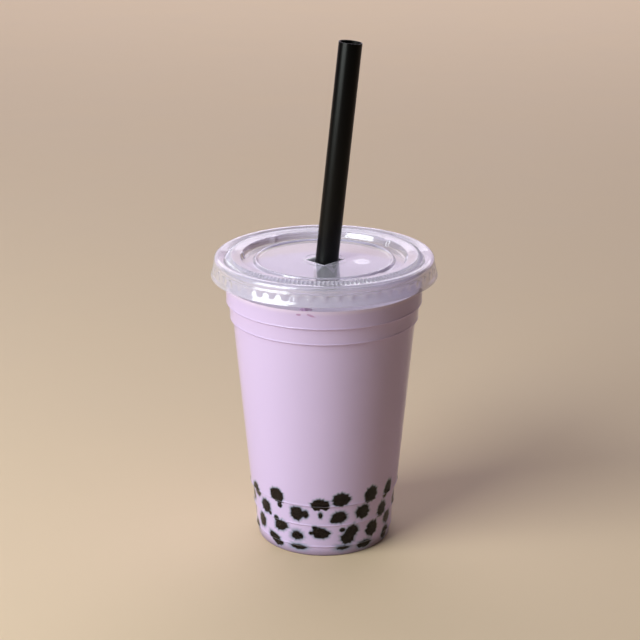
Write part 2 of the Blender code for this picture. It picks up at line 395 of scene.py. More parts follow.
class StrawSettings(bpy.types.PropertyGroup):
    radius: FloatProperty(
        name="Radius", description="Outer radius", default=0.0052, min=0.003, max=0.0053, unit="LENGTH"
    )
    wall: FloatProperty(
        name="Wall",
        description="Thickness of the tube",
        default=0.00045,
        min=0.0002,
        max=0.001,
        unit="LENGTH",
    )
    colour: FloatVectorProperty(
        name="Colour",
        description="Colour of the straw",
        default=(0.002, 0.002, 0.0022),
        subtype="COLOR",
        min=0,
        max=1,
    )
    roughness: FloatProperty(
        name="Roughness",
        description="Roughness of the satin finish",
        default=0.30,
        min=0,
        max=1,
        subtype="FACTOR",
    )


class DrinkSettings(bpy.types.PropertyGroup):
    columns: IntProperty(name="Facets", description="Facets round the drink", default=528, min=96, max=720)
    colour: FloatVectorProperty(
        name="Colour",
        description="Colour of the milk tea",
        default=(0.65, 0.515, 0.80),
        subtype="COLOR",
        min=0,
        max=1,
    )
    # painted light: the drink's paler colour just under its edge, where light from above would come in
    painted_edge_light: FloatVectorProperty(
        name="Edge colour",
        description="Colour just under the drink's edge, where light comes in from above",
        default=(0.76, 0.62, 0.85),
        subtype="COLOR",
        min=0,
        max=1,
    )
    # painted shade: the drink's darker colour inside the foot ring, where little light comes in
    painted_foot_shade: FloatVectorProperty(
        name="Foot colour",
        description="Colour inside the foot ring, where little light comes in",
        default=(0.28, 0.205, 0.30),
        subtype="COLOR",
        min=0,
        max=1,
    )
    thin_colour: FloatVectorProperty(
        name="Thin colour",
        description="Colour where the tea is a thin film over a pearl",
        default=(0.27, 0.29, 0.42),
        subtype="COLOR",
        min=0,
        max=1,
    )
    bubble_colour: FloatVectorProperty(
        name="Bubble colour",
        description="Colour of the bubbles under the drink's edge",
        default=(0.42, 0.25, 0.45),
        subtype="COLOR",
        min=0,
        max=1,
    )
    film: FloatProperty(
        name="Film",
        description="Depth over which a pearl fades out behind the tea",
        default=0.0011,
        min=0,
        max=0.003,
        unit="LENGTH",
    )


class PearlSettings(bpy.types.PropertyGroup):
    radius: FloatProperty(
        name="Radius", description="Radius of a pearl", default=0.00455, min=0.003, max=0.006, unit="LENGTH"
    )
    seed: IntProperty(name="Seed", description="Seed of the pearls' unevenness", default=14)
    colour: FloatVectorProperty(
        name="Colour",
        description="Colour of the pearls",
        default=(0.005, 0.003, 0.0025),
        subtype="COLOR",
        min=0,
        max=1,
    )


class StageSettings(bpy.types.PropertyGroup):
    floor_colour: FloatVectorProperty(
        name="Floor",
        description="Colour of the floor",
        default=(0.76, 0.585, 0.41),
        subtype="COLOR",
        min=0,
        max=1,
    )
    camera_distance: FloatProperty(
        name="Distance",
        description="How far the camera stands in front",
        default=0.690,
        min=0.3,
        unit="LENGTH",
    )
    camera_height: FloatProperty(
        name="Height", description="Height of the camera", default=0.342, min=0, unit="LENGTH"
    )
    camera_pitch: FloatProperty(
        name="Pitch",
        description="How far the camera looks down",
        default=math.radians(19.02),
        unit="ROTATION",
    )
    lens: FloatProperty(name="Lens", description="Focal length on a 36 mm sensor", default=90.0, min=10)
    key_power: FloatProperty(name="Key", description="Power of the key lamp in watts", default=15.4, min=0)
    top_power: FloatProperty(
        name="Top", description="Power of the lamp overhead in watts", default=40.0, min=0
    )
    dim_surround: FloatVectorProperty(
        name="Surround in front",
        description="Light from in front",
        default=(0.018, 0.013, 0.01),
        subtype="COLOR",
        min=0,
    )
    high_surround: FloatVectorProperty(
        name="Surround above",
        description="Light from above",
        default=(0.04, 0.04, 0.05),
        subtype="COLOR",
        min=0,
    )
    bright_surround: FloatVectorProperty(
        name="Surround behind",
        description="Light from low behind",
        default=(1.15, 0.95, 1.15),
        subtype="COLOR",
        min=0,
    )


class BubbleTeaSettings(bpy.types.PropertyGroup):
    cup: PointerProperty(type=CupSettings)
    lid: PointerProperty(type=LidSettings)
    straw: PointerProperty(type=StrawSettings)
    drink: PointerProperty(type=DrinkSettings)
    pearls: PointerProperty(type=PearlSettings)
    stage: PointerProperty(type=StageSettings)


def rounded(corners):
    """A line of radius and height from corners of radius, height and rounding."""
    line = []
    for i, (r, z, rounding) in enumerate(corners):
        here = Vector((r, z))
        if rounding == 0 or i in (0, len(corners) - 1):
            line.append(here)
            continue
        back = Vector(corners[i - 1][:2]) - here
        ahead = Vector(corners[i + 1][:2]) - here
        half = back.angle(ahead) / 2
        reach = min(rounding / math.tan(half), STRAIGHT_SHARE * back.length, STRAIGHT_SHARE * ahead.length)
        radius = reach * math.tan(half)
        centre = here + (back.normalized() + ahead.normalized()).normalized() * radius / math.sin(half)
        start = here + back.normalized() * reach - centre
        end = here + ahead.normalized() * reach - centre
        steps = max(2, math.ceil(start.angle(end) / ARC_STEP))
        line += [centre + start.slerp(end, k / steps).normalized() * radius for k in range(steps + 1)]
    return line


def arc(centre, radius, start, end):
    """Points of a round stretch, from one angle in degrees to the other."""
    steps = math.ceil(math.radians(abs(end - start)) / ARC_STEP)
    angles = [math.radians(start + (end - start) * k / steps) for k in range(steps + 1)]
    return [Vector((centre[0] + radius * math.cos(a), centre[1] + radius * math.sin(a))) for a in angles]


def cut_at(line, *heights):
    """The line with a point added wherever it passes one of the heights."""
    points = [line[0]]
    for a, b in zip(line, line[1:]):
        passed = [h for h in heights if min(a.y, b.y) + CLOSE < h < max(a.y, b.y) - CLOSE]
        points += [a.lerp(b, (h - a.y) / (b.y - a.y)) for h in sorted(passed, reverse=b.y < a.y)]
        points.append(b)
    return points


def finer(line, low, high, spacing):
    """The line with extra points, no further apart than spacing, between the two heights."""
    line = cut_at(line, low, high)
    points = [line[0]]
    for a, b in zip(line, line[1:]):
        inside = low <= (a.y + b.y) / 2 <= high
        parts = max(1, math.ceil((b - a).length / spacing)) if inside else 1
        points += [a.lerp(b, k / parts) for k in range(1, parts + 1)]
    return points


def without_repeats(line):
    """The line without the points that lie on the one before them."""
    kept = [line[0]]
    for point in line[1:]:
        if (point - kept[-1]).length > CLOSE:
            kept.append(point)
    return kept


def offset_line(line, distance):
    """The line moved to its left by distance, a number or one number a point, with mitred corners."""
    distances = [distance] * len(line) if isinstance(distance, float) else distance
    normals = [Vector((a.y - b.y, b.x - a.x)).normalized() for a, b in zip(line, line[1:])]
    moved = []
    for i, (point, reach) in enumerate(zip(line, distances)):
        before = normals[max(i - 1, 0)]
        after = normals[min(i, len(normals) - 1)]
        side = (before + after).normalized()
        moved.append(point + side * reach / side.dot(after))
    return moved


def cup_line():
    """The cup's outside, from the middle of its base out and up to its rolled rim."""
    corners = list(FOOT_LINE)
    for height, below, above in WALL_STEPS:
        corners.append((below, height - STEP_RISE / 2, STEP_ROUNDING))
        corners.append((above + STEP_BEAD, height + STEP_RISE / 2, STEP_ROUNDING))
        corners.append((above, height + STEP_RISE / 2 + BEAD_FADE, STEP_ROUNDING))
    corners.append((*COLLAR_TOP, 0.0))
    return without_repeats(rounded(corners) + arc(RIM_CENTRE, RIM_RADIUS, *RIM_CURL))


def wall_part(line):
    """The part of the cup's line from the middle of the base to the collar under the rim."""
    top = next(i for i, point in enumerate(line) if point.y >= COLLAR_TOP[1] - CLOSE)
    return line[: top + 1]


def rising_wall(line):
    """Heights and radii of a line's rising part, from where the wall leaves the foot, as two arrays."""
    lowest = min(range(len(line)), key=lambda i: (round(line[i].y, 2), -line[i].x))
    points = np.array([tuple(point) for point in line[lowest:]])
    return points[:, 1], points[:, 0]


def spin_profile(bm, line, steps, closed):
    """Turns the line round the Z axis: an eighth is spun, and three doublings make it whole."""
    verts = [bm.verts.new((r * MM, 0.0, z * MM)) for r, z in line]
    edges = [bm.edges.new(pair) for pair in zip(verts, verts[1:])]
    if closed:
        edges.append(bm.edges.new((verts[-1], verts[0])))
    bmesh.ops.spin(
        bm, geom=verts + edges, cent=(0, 0, 0), axis=(0, 0, 1), angle=math.tau / 8, steps=steps // 8
    )
    for share in (1 / 8, 1 / 4, 1 / 2):
        copy = bmesh.ops.duplicate(bm, geom=bm.verts[:] + bm.edges[:] + bm.faces[:])["geom"]
        turned = [item for item in copy if isinstance(item, bmesh.types.BMVert)]
        bmesh.ops.rotate(bm, verts=turned, cent=(0, 0, 0), matrix=Matrix.Rotation(math.tau * share, 3, "Z"))
    bmesh.ops.remove_doubles(bm, verts=bm.verts, dist=SAME_VERT)
    bmesh.ops.recalc_face_normals(bm, faces=bm.faces)


def add_piece(name, bm, finish, node):
    """Makes the bmesh a piece that rides on the cup's body and stands for a node of the model."""
    mesh = bpy.data.meshes.new(name)
    bm.to_mesh(mesh)
    bm.free()
    mesh.shade_smooth()
    mesh.set_sharp_from_angle(angle=SHARP_ANGLE)
    mesh.materials.append(finish)
    piece = bpy.data.objects.new(name, mesh)
    bpy.context.scene.collection.objects.link(piece)
    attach(piece, ROOT)
    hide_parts(node)


def new_material(name, **values):
    """A Principled material with the values set on the shader's own sockets."""
    made = bpy.data.materials.new(name)
    made.use_nodes = True
    shader = made.node_tree.nodes["Principled BSDF"]
    for socket, value in values.items():
        shader.inputs[socket.replace("_", " ")].default_value = value
    return made, made.node_tree, shader


def noise_texture(tree, scale, stretch=(1, 1, 1), detail=2.0):
    """A noise on Object coordinates, with its scale in cells a metre and its cells stretched on each axis."""
    place = tree.nodes.new("ShaderNodeTexCoord")
    mapping = tree.nodes.new("ShaderNodeMapping")
    mapping.inputs["Scale"].default_value = [scale / s for s in stretch]
    tree.links.new(place.outputs["Object"], mapping.inputs["Vector"])
    texture = tree.nodes.new("ShaderNodeTexNoise")
    texture.inputs["Scale"].default_value = 1.0
    texture.inputs["Detail"].default_value = detail
    tree.links.new(mapping.outputs["Vector"], texture.inputs["Vector"])
    return texture.outputs["Fac"]


def bumped(tree, shader, height, depth):
    """Sends a height through a Bump node to the shader. Depth is in metres."""
    bump = tree.nodes.new("ShaderNodeBump")
    bump.inputs["Strength"].default_value = 1.0
    bump.inputs["Distance"].default_value = depth
    tree.links.new(height, bump.inputs["Height"])
    tree.links.new(bump.outputs["Normal"], shader.inputs["Normal"])


def ranged(tree, value, low, high, start=0.0, end=1.0):
    """Maps a value from start to end onto low to high."""
    node = tree.nodes.new("ShaderNodeMapRange")
    node.inputs["From Min"].default_value = start
    node.inputs["From Max"].default_value = end
    node.inputs["To Min"].default_value = low
    node.inputs["To Max"].default_value = high
    tree.links.new(value, node.inputs["Value"])
    return node.outputs["Result"]


def smooth_share(tree, value, low, high):
    """A soft ramp of a value, from 0 at low to 1 at high. Low may be above high."""
    first, last = (0.0, 1.0) if low < high else (1.0, 0.0)
    share = ranged(tree, value, first, last, start=min(low, high), end=max(low, high))
    share.node.interpolation_type = "SMOOTHSTEP"
    return share


def colour_between(tree, factor, first, second):
    """A mix of two colours or colour sockets by a factor socket."""
    mix = tree.nodes.new("ShaderNodeMix")
    mix.data_type = "RGBA"
    tree.links.new(factor, mix.inputs["Factor"])
    for socket, colour in ((mix.inputs[6], first), (mix.inputs[7], second)):
        if isinstance(colour, bpy.types.NodeSocket):
            tree.links.new(colour, socket)
        else:
            socket.default_value = (*colour, 1.0)
    return mix.outputs[2]


def shade_of(colour, share):
    """The colour made darker or lighter by a share."""
    return [share * c for c in colour]


def split_coordinates(tree, output):
    """The X, Y and Z outputs of one of the texture coordinates."""
    place = tree.nodes.new("ShaderNodeTexCoord")
    parts = tree.nodes.new("ShaderNodeSeparateXYZ")
    tree.links.new(place.outputs[output], parts.inputs["Vector"])
    return parts.outputs


def clear_plastic(name, settings, ripple, milkiness):
    """Thin clear plastic, a little milky, which lets light fall straight through it on what is behind."""
    made, tree, shader = new_material(
        name, Base_Color=(*settings.tint, 1.0), IOR=settings.ior, Transmission_Weight=1.0 - milkiness
    )
    haze = noise_texture(tree, scale=160, detail=3.0)
    rough = ranged(tree, haze, low=0.5 * settings.roughness, high=1.5 * settings.roughness)
    tree.links.new(rough, shader.inputs["Roughness"])
    bumped(tree, shader, noise_texture(tree, scale=45, stretch=(1, 1, 3)), depth=ripple)
    path = tree.nodes.new("ShaderNodeLightPath")
    straight = tree.nodes.new("ShaderNodeBsdfTransparent")
    straight.inputs["Color"].default_value = [settings.passes] * 3 + [1.0]
    seen = shader.outputs["BSDF"]
    for ray in ("Is Diffuse Ray", "Is Shadow Ray"):
        mix = tree.nodes.new("ShaderNodeMixShader")
        tree.links.new(path.outputs[ray], mix.inputs[0])
        tree.links.new(seen, mix.inputs[1])
        tree.links.new(straight.outputs["BSDF"], mix.inputs[2])
        seen = mix.outputs["Shader"]
    tree.links.new(seen, tree.nodes["Material Output"].inputs["Surface"])
    return made


def straw_finish(settings):
    """Black satin plastic with fine drawn lines along the tube."""
    made, tree, shader = new_material(
        "black_satin", Base_Color=(*settings.colour, 1.0), IOR=1.5, Specular_IOR_Level=0.18
    )
    drawn = noise_texture(tree, scale=900, stretch=(1, 1, 60))
    soft = noise_texture(tree, scale=70, stretch=(1, 1, 4))
    rough = ranged(tree, soft, low=settings.roughness - 0.05, high=settings.roughness + 0.05)
    tree.links.new(rough, shader.inputs["Roughness"])
    bumped(tree, shader, drawn, depth=0.00002)
    return made


def tea_finish(settings, pearl_colour):
    """Milky tea with faint clouds, which goes bluish grey and then dark where it thins over a pearl."""
    made, tree, shader = new_material("milk_tea", Roughness=0.45, IOR=1.36)
    clouds = noise_texture(tree, scale=28, stretch=(1, 1, 2.5))
    body = colour_between(tree, clouds, shade_of(settings.colour, 0.96), shade_of(settings.colour, 1.04))
    height = split_coordinates(tree, "Object")["Z"]
    # painted light: the drink turns paler towards its edge, standing in for light that comes in from above
    edge = smooth_share(tree, height, (DRINK_LEVEL - PAINTED_LIGHT_DEPTH) * MM, DRINK_LEVEL * MM)
    body = colour_between(tree, edge, body, settings.painted_edge_light)
    # painted shade: the drink darkens towards the bottom, in the foot ring
    foot = smooth_share(tree, height, FOOT_SHADE * MM, 0.0)
    body = colour_between(tree, foot, body, settings.painted_foot_shade)
    film = tree.nodes.new("ShaderNodeAttribute")
    film.attribute_name = "film"
    halo = ranged(tree, film.outputs["Fac"], 0.0, 1.0, start=0.0, end=0.75)
    core = ranged(tree, film.outputs["Fac"], 0.0, 1.0, start=0.7, end=1.0)
    thin = colour_between(tree, halo, body, settings.thin_colour)
    tree.links.new(colour_between(tree, core, thin, pearl_colour), shader.inputs["Base Color"])
    return made


def bubble_finish(settings):
    """The mauve of small bubbles under the drink's edge, a little uneven."""
    made, tree, shader = new_material("tea_bubble", Roughness=0.35, IOR=1.36)
    clouds = noise_texture(tree, scale=900)
    pale = shade_of(settings.bubble_colour, 1.5)
    tree.links.new(colour_between(tree, clouds, settings.bubble_colour, pale), shader.inputs["Base Color"])
    return made


def pearl_finish(settings):
    """Dark brown cooked starch: glossy, with paler clouds just under its skin."""
    made, tree, shader = new_material("tapioca_skin", IOR=1.4, Specular_IOR_Level=0.15)
    clouds = noise_texture(tree, scale=420, detail=3.0)
    pale = shade_of(settings.colour, 2.4)
    tree.links.new(colour_between(tree, clouds, settings.colour, pale), shader.inputs["Base Color"])
    tree.links.new(ranged(tree, clouds, low=0.2, high=0.4), shader.inputs["Roughness"])
    bumped(tree, shader, noise_texture(tree, scale=900), depth=0.00003)
    return made


def floor_finish(settings):
    """Pale matt board with a faint mottle."""
    made, tree, shader = new_material("pale_board", IOR=1.4)
    mottle = noise_texture(tree, scale=9, detail=5.0)
    dark = shade_of(settings.floor_colour, 0.97)
    pale = shade_of(settings.floor_colour, 1.03)
    tree.links.new(colour_between(tree, mottle, dark, pale), shader.inputs["Base Color"])
    tree.links.new(ranged(tree, mottle, low=0.6, high=0.75), shader.inputs["Roughness"])
    return made


class BUBBLETEA_OT_cup(bpy.types.Operator):
    """Build the clear cup with its moulded steps, foot ring and rolled rim."""

    bl_idname = "bubble_tea.cup"
    bl_label = "Cup"

    def execute(self, context):
        settings = context.scene.bubble_tea.cup
        outer = cup_line()
        inner = offset_line(outer, settings.wall / MM)
        bm = bmesh.new()
        spin_profile(bm, outer + inner[::-1], settings.steps, closed=False)
        finish = clear_plastic("clear_cup_plastic", settings, 0.0001, settings.milkiness)
        add_piece("cup_shell", bm, finish, "cup")
        return {"FINISHED"}


def held_flat(line):
    """The line with a point close to both ends of each long straight, so that its shading stays flat."""
    points = [line[0]]
    for a, b in zip(line, line[1:]):
        way = b - a
        if way.length > LONG_STRAIGHT:
            points += [a + way.normalized() * HOLD, b - way.normalized() * HOLD]
        points.append(b)
    return points


def lid_line():
    """The lid's upper side, from the skirt's edge in to the slit."""
    skirt = rounded(SKIRT_LINE)
    crown = arc(CROWN_CENTRE, CROWN_RADIUS, *CROWN_ARC)
    top = rounded([(*crown[-1], 0.0), *TOP_LINE])
    edge = [Vector((SLIT_REACH + SLIT_EDGE_WIDTH, SLIT_EDGE)), Vector((SLIT_REACH, SLIT_EDGE))]
    line = held_flat(without_repeats(skirt + crown + top) + edge)
    line = finer(line, RIB_FOOT, RIB_TOP, spacing=0.45)
    return finer(line, *PANEL_BAND, spacing=1.3)


def facet_depth(turn, height, count):
    """How far the skirt is pressed in, from 0 to 1: slanted facets between ribs that narrow downwards."""
    if not RIB_FOOT < height < RIB_TOP:
        return 0.0
    rise = (height - RIB_FOOT) / (RIB_TOP - RIB_FOOT)
    spot = abs((turn * count / math.tau) % 1.0 - 0.5) * 2
    rib = RIB_FOOT_WIDTH + RIB_WIDENING * rise
    return rise * min(1.0, max(0.0, (spot - rib) / FACET_SLOPE)) * min(1.0, (1 - rise) / FACET_FADE)


def flute_height(turn, radius, height, count):
    """How far the stacking ring's flutes stand out, from 0 at its foot and crest to 1 between them."""
    low, high = FLUTE_BAND
    if not (low < radius < high and height > FLUTE_FOOT):
        return 0.0
    along = (high - radius) / (high - low)
    wave = 0.5 + 0.5 * math.cos(turn * count)
    return wave * min(1.0, along / FLUTE_FADE) * min(1.0, (1 - along) / FLUTE_FADE)


def lug_height(turn, radius, height):
    """How far the stacking lugs stand out into the channel, on the wall round it."""
    low, high = LUG_BAND
    if not (low < radius < high and height > LUG_FOOT):
        return 0.0
    off = (math.degrees(turn) - FIRST_LUG + 180 / LUGS) % (360 / LUGS) - 180 / LUGS
    return LUG_DEPTH * math.cos(min(1.0, abs(off) / LUG_HALF_WIDTH) * math.pi / 2) ** 2


def button_height(x, y):
    """The rise of the oval press-in button on the panel."""
    share = math.hypot((x - BUTTON_PLACE[0]) / BUTTON_HALF[0], (y - BUTTON_PLACE[1]) / BUTTON_HALF[1])
    return BUTTON_RISE * math.cos(min(1.0, share) * math.pi / 2) ** 2


def panel_height(x, y):
    """The panel's rise above its flat: faint waves and the press-in button."""
    return PANEL_WAVES * noise.noise(Vector((x, y, 0)) / PANEL_WAVE_WIDTH) + button_height(x, y)


def shape_lid(bm, settings):
    """Shapes the spun lid: the skirt's facets, flutes, lugs and button, and the square edge of the slit."""
    for vert in bm.verts:
        x, y, z = vert.co / MM
        radius = math.hypot(x, y)
        turn = math.atan2(y, x)
        new_radius = (radius - lug_height(turn, radius, z)) * MM
        if radius > SKIRT_INSIDE:
            new_radius -= facet_depth(turn, z, settings.ribs) * settings.rib_depth
        flute = flute_height(turn, radius, z, settings.flutes) * settings.flute_depth
        new_radius += flute * FLUTE_OUT
        if radius < SLIT_REACH + SLIT_EDGE_WIDTH / 2:
            new_radius = SLIT_REACH / (abs(math.cos(turn)) + abs(math.sin(turn))) * MM
        height = z * MM + flute * FLUTE_UP
        if radius < PANEL_RADIUS:
            height += panel_height(x, y) * MM
        vert.co = (new_radius * math.cos(turn), new_radius * math.sin(turn), height)


def bent_flap(bm, quarter, clearance):
    """One pointed flap of the cross slit, curled down to its clearance from the straw's axis."""
    outwards = Matrix.Rotation(math.radians(45 + 90 * quarter), 3, "Z") @ Vector((1, 0, 0))
    along = Vector((-outwards.y, outwards.x, 0))
    length = SLIT_REACH / math.sqrt(2)
    bend = math.acos((length - outwards.x * STRAW_AT_LID - clearance) / length)
    place = outwards * (length + FLAP_ROOT) + Vector((0, 0, SLIT_EDGE))
    grid = []
    for i in range(FLAP_ROWS + 1):
        share = i / FLAP_ROWS
        angle = bend * min(1.0, share / FLAP_BEND)
        half = (length - FLAP_SIDE_GAP) * (1 - share) + FLAP_TIP
        offsets = [half * (2 * j / FLAP_COLUMNS - 1) for j in range(FLAP_COLUMNS + 1)]
        grid.append([bm.verts.new((place + along * offset) * MM) for offset in offsets])
        way = -outwards * math.cos(angle) - Vector((0, 0, math.sin(angle)))
        place = place + way * (length - FLAP_TRIM) / FLAP_ROWS
    faces = []
    for a, b in zip(grid, grid[1:]):
        faces += [bm.faces.new((a[j], a[j + 1], b[j + 1], b[j])) for j in range(FLAP_COLUMNS)]
    return faces


class BUBBLETEA_OT_lid(bpy.types.Operator):
    """Build the flat lid with its ribbed skirt, fluted stacking ring, raised panel and cross slit."""

    bl_idname = "bubble_tea.lid"
    bl_label = "Lid"

    def execute(self, context):
        settings = context.scene.bubble_tea.lid
        outer = lid_line()
        inner = offset_line(outer, settings.wall / MM)
        bm = bmesh.new()
        spin_profile(bm, outer + inner[::-1], LID_STEPS, closed=True)
        shape_lid(bm, settings)
        bmesh.ops.recalc_face_normals(bm, faces=bm.faces)
        finish = clear_plastic("clear_lid_plastic", settings, 0.00003, settings.milkiness)
        add_piece("lid_shell", bm, finish, "lid")
        clearance = (context.scene.bubble_tea.straw.radius + settings.wall) / MM + STRAW_GAP
        flaps = bmesh.new()
        for quarter in range(4):
            faces = bent_flap(flaps, quarter, clearance)
            bmesh.ops.recalc_face_normals(flaps, faces=faces)
            bmesh.ops.solidify(flaps, geom=faces, thickness=settings.wall)
        bmesh.ops.recalc_face_normals(flaps, faces=flaps.faces)
        creased = clear_plastic("creased_flap_plastic", settings, 0.0003, settings.crease_milkiness)
        add_piece("lid_flaps", flaps, creased, "lid")
        return {"FINISHED"}


class BUBBLETEA_OT_straw(bpy.types.Operator):
    """Build the wide black straw, leaning through the lid to the cup's floor."""

    bl_idname = "bubble_tea.straw"
    bl_label = "Straw"

    def execute(self, context):
        settings = context.scene.bubble_tea.straw
        radius = settings.radius / MM
        inner = radius - settings.wall / MM
        corners = [
            (inner, STRAW_LENGTH / 2, 0.0),
            (inner, 0.0, STRAW_LIP),
            (radius, 0.0, STRAW_LIP),
            (radius, STRAW_LENGTH, STRAW_LIP),
            (inner, STRAW_LENGTH, STRAW_LIP),
            (inner, STRAW_LENGTH / 2, 0.0),
        ]
        bm = bmesh.new()
        spin_profile(bm, without_repeats(rounded(corners))[:-1], STRAW_SIDES, closed=True)
        foot = Vector((STRAW_FOOT[0], 0.0, STRAW_FOOT[1])) * MM
        stand = Matrix.Translation(foot) @ Matrix.Rotation(STRAW_LEAN, 4, "Y")
        bmesh.ops.transform(bm, matrix=stand, verts=bm.verts)
        add_piece("straw_tube", bm, straw_finish(settings), "straw")
        return {"FINISHED"}


class Pearl:
    """A soft pearl pressed on the wall: where it lies, the size and tilt of its patch, and its outline."""

    def __init__(self, dice, angle, height, width, tall, tilt, toward, bulge, radius):
        self.angle = angle
        self.height = height
        self.half = (width / 2, tall / 2)
        self.tilt = math.radians(tilt)
        self.toward = math.radians(toward)
        self.bulge = bulge
        self.radius = radius
        self.patch = min(math.sqrt(width * tall) / 2, WIDEST_PATCH * radius)
        self.depth = math.sqrt(radius**2 - self.patch**2)
        self.waves = []
        for count, size in RAGGED_WAVES:
            start = dice.uniform(0, math.tau)
            self.waves.append((count, start, size * dice.uniform(0.5, 1.5)))
        self.lumps = Vector([dice.uniform(0, 40) for _ in range(3)])

    def outline(self, direction):
        """The outline of its patch as a share of an ellipse: ragged, with one bulge or notch."""
        off = (direction - self.toward + math.pi) % math.tau - math.pi
        share = 1 + self.bulge * np.exp(-((off / BULGE_SPREAD) ** 2))
        for count, start, size in self.waves:
            share = share + size * np.cos(count * direction + start)
        return share


def all_pearls(settings):
    """The pearls of the front, the small ones between them and those round the back."""
    dice = random.Random(settings.seed)
    full = settings.radius / MM
    pearls = [Pearl(dice, *place, full) for place in FRONT_PEARLS]
    pearls += [Pearl(dice, *place, 0, 0, 0.0, max(place[2:]) * SMALL_PEARL) for place in TOUCHING_PEARLS]
    for row, height in enumerate(BACK_TIERS):
        angle = FIRST_AT_BACK + (row % 2) * BACK_SPACING / 2
        while angle < LAST_AT_BACK:
            wide = dice.uniform(*BACK_WIDTH)
            tall = wide * dice.uniform(*BACK_ASPECT)
            spot = (angle + dice.uniform(*BACK_TURN), height + dice.uniform(*BACK_SHIFT))
            bulge = dice.choice(BACK_BULGES)
            tilt = dice.uniform(*BACK_TILT)
            pearls.append(Pearl(dice, *spot, wide, tall, tilt, dice.uniform(-180, 180), bulge, full))
            angle += BACK_SPACING
    return pearls


def unit_ball():
    """A ball of radius one as a mesh, with its poles on Z, and its points as an array."""
    bm = bmesh.new()
    bmesh.ops.create_uvsphere(bm, u_segments=PEARL_SIDES, v_segments=PEARL_BANDS, radius=1.0)
    mesh = bpy.data.meshes.new("ball")
    bm.to_mesh(mesh)
    bm.free()
    return mesh, np.array([vert.co for vert in mesh.vertices])


def pressed(ball, pearl, heights, radii):
    """The ball's points as a pearl pressed flat on the wall, which is given by heights and radii."""
    turn = math.radians(pearl.angle - 90)
    out = np.array((math.cos(turn), math.sin(turn), 0))
    side = np.array((-out[1], out[0], 0))
    wall_radius = np.interp(pearl.height, heights, radii) + PEARL_INTO_WALL
    centre = out * (wall_radius - pearl.depth) + np.array((0, 0, pearl.height))
    lumps = np.array([noise.noise(Vector(point) * LUMP_SCALE + pearl.lumps) for point in ball])
    swell = 1 + LUMP_HEIGHT * lumps
    swell *= np.where(ball[:, 2] > 0, pearl.outline(np.arctan2(ball[:, 1], ball[:, 0])), 1.0)
    a = ball[:, 0] * swell * pearl.radius * pearl.half[0] / pearl.patch
    b = ball[:, 1] * swell * pearl.radius * pearl.half[1] / pearl.patch
    across = a * math.cos(pearl.tilt) - b * math.sin(pearl.tilt)
    rise = a * math.sin(pearl.tilt) + b * math.cos(pearl.tilt)
    points = centre + np.outer(across, side) + np.outer(ball[:, 2] * pearl.radius, out)
    points[:, 2] = np.maximum(points[:, 2] + rise, PEARL_BOTTOM)
    limit = np.interp(points[:, 2], heights, radii) + PEARL_INTO_WALL
    reach = np.hypot(points[:, 0], points[:, 1])
    points[:, :2] *= np.minimum(1.0, limit / reach)[:, None]
    return points


def pressed_on_wall(pearls, wall):
    """A bmesh of the pearls, each pressed on the inside of the cup. Wall is the plastic's thickness."""
    heights, radii = rising_wall(offset_line(wall_part(cup_line()), wall))
    mesh, ball = unit_ball()
    bm = bmesh.new()
    points = []
    for pearl in pearls:
        bm.from_mesh(mesh)
        points.append(pressed(ball, pearl, heights, radii))
    bpy.data.meshes.remove(mesh)
    for vert, point in zip(bm.verts, np.concatenate(points)):
        vert.co = point * MM
    bmesh.ops.recalc_face_normals(bm, faces=bm.faces)
    return bm


class BUBBLETEA_OT_pearls(bpy.types.Operator):
    """Build the tapioca pearls that lie against the wall of the cup."""

    bl_idname = "bubble_tea.pearls"
    bl_label = "Pearls"

    def execute(self, context):
        settings = context.scene.bubble_tea.pearls
        bm = pressed_on_wall(all_pearls(settings), context.scene.bubble_tea.cup.wall / MM)
        add_piece("pearls", bm, pearl_finish(settings), "tapioca_pearls")
        return {"FINISHED"}


def step_cover(heights):
    """How fully the drink covers the pearls at each height, from 0 to 1 at the moulded steps."""
    near = np.min([np.abs(heights - height) for height, _, _ in WALL_STEPS], axis=0)
    return np.clip(1 - (near - STEP_COVER) / STEP_FADE, 0, 1)


def film_over_pearls(points, pearls, film):
    """How strongly the pearls show through the drink at points of its wall, from 0 to 1."""
    turn = np.degrees(np.arctan2(points[:, 1], points[:, 0])) + 90
    reach = np.hypot(points[:, 0], points[:, 1])
    shows = np.zeros(len(points))
    for pearl in pearls:
        across = np.radians((turn - pearl.angle + 180) % 360 - 180) * reach
        rise = points[:, 2] - pearl.height
        a = (across * math.cos(pearl.tilt) + rise * math.sin(pearl.tilt)) * pearl.patch / pearl.half[0]
        b = (-across * math.sin(pearl.tilt) + rise * math.cos(pearl.tilt)) * pearl.patch / pearl.half[1]
        share = np.hypot(a, b) / pearl.outline(np.arctan2(b, a)) / pearl.radius
        ball = np.sqrt(np.clip(1 - share**2, 0, 1)) * pearl.radius
        behind = np.where(share < 1, np.clip(pearl.depth - ball, 0, None), OUT_OF_SIGHT)
        shows = np.maximum(shows, np.exp(-behind / film))
    shows[(points[:, 2] > PEARL_ZONE) | (reach < FILM_RADIUS)] = 0.0
    return shows * (1 - STEP_HIDES * step_cover(points[:, 2]))


def drink_line(wall):
    """The drink's outline, from the middle of its base out, up the wall and in to the straw."""
    outer = finer(wall_part(cup_line()), FINE_WALL, PEARL_ZONE, spacing=0.5)
    outer = finer(outer, PEARL_ZONE, DRINK_LEVEL, spacing=7.0)
    covers = step_cover(np.array([point.y for point in outer]))
    inset = list(wall - INTO_WALL - (STEP_INTO_WALL - INTO_WALL) * covers)
    side = [point for point in offset_line(outer, inset) if point.y < DRINK_LEVEL]
    edge = float(np.interp(DRINK_LEVEL, *rising_wall(outer))) - wall + INTO_WALL
    surface = [(edge + out, up) for out, up in WALL_MENISCUS] + list(STRAW_MENISCUS)
    return side + [Vector((radius, DRINK_LEVEL + up)) for radius, up in surface]


